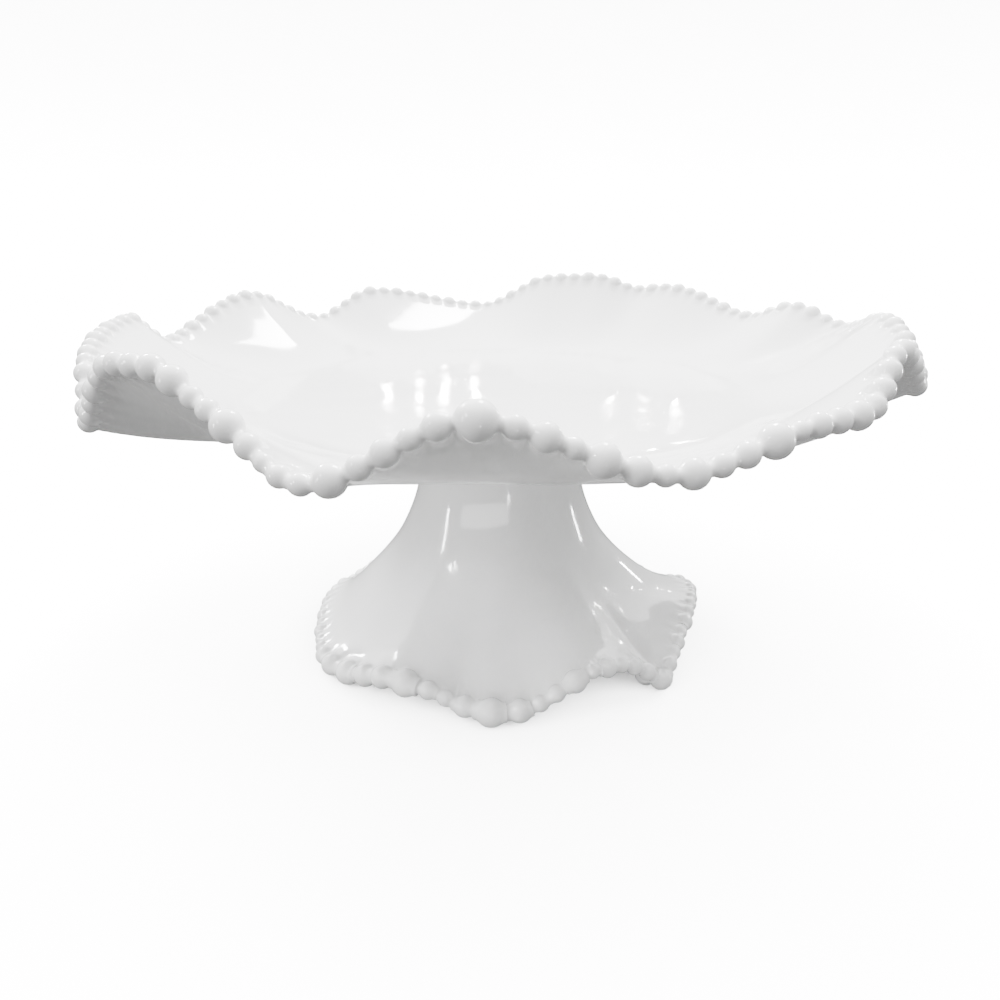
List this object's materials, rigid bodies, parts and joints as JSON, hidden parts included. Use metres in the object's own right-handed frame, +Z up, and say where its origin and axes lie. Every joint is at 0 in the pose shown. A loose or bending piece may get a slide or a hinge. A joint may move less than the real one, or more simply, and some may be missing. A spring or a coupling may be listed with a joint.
{
  "type": "cake stand",
  "caption": "Round footed cake stand with a shallow ruffled plate, a beaded rim and a hollow flared pedestal with a beaded, scalloped foot.",
  "frame": {"origin": "on the table under the middle of the stand", "axes": "+Z up, -Y the front as pictured, +X to its right"},
  "size_m": [0.3132, 0.3136, 0.1376],
  "materials": {
    "white_gloss": "gloss white melamine",
    "brass": "satin",
    "stainless": "satin",
    "silicone_white": "matte",
    "silicone_clear": "satin"
  },
  "bodies": {
    "root": {"plate": "white_gloss", "pedestal": "white_gloss", "seal_ring": "silicone_white", "threaded_insert": "brass", "clamp_screw": "stainless", "flat_washer": "stainless", "lock_washer": "stainless", "foot_pad_1": "silicone_clear", "foot_pad_2": "silicone_clear", "foot_pad_3": "silicone_clear", "foot_pad_4": "silicone_clear", "foot_pad_5": "silicone_clear", "foot_pad_6": "silicone_clear", "foot_pad_7": "silicone_clear"}
  },
  "joints": []
}
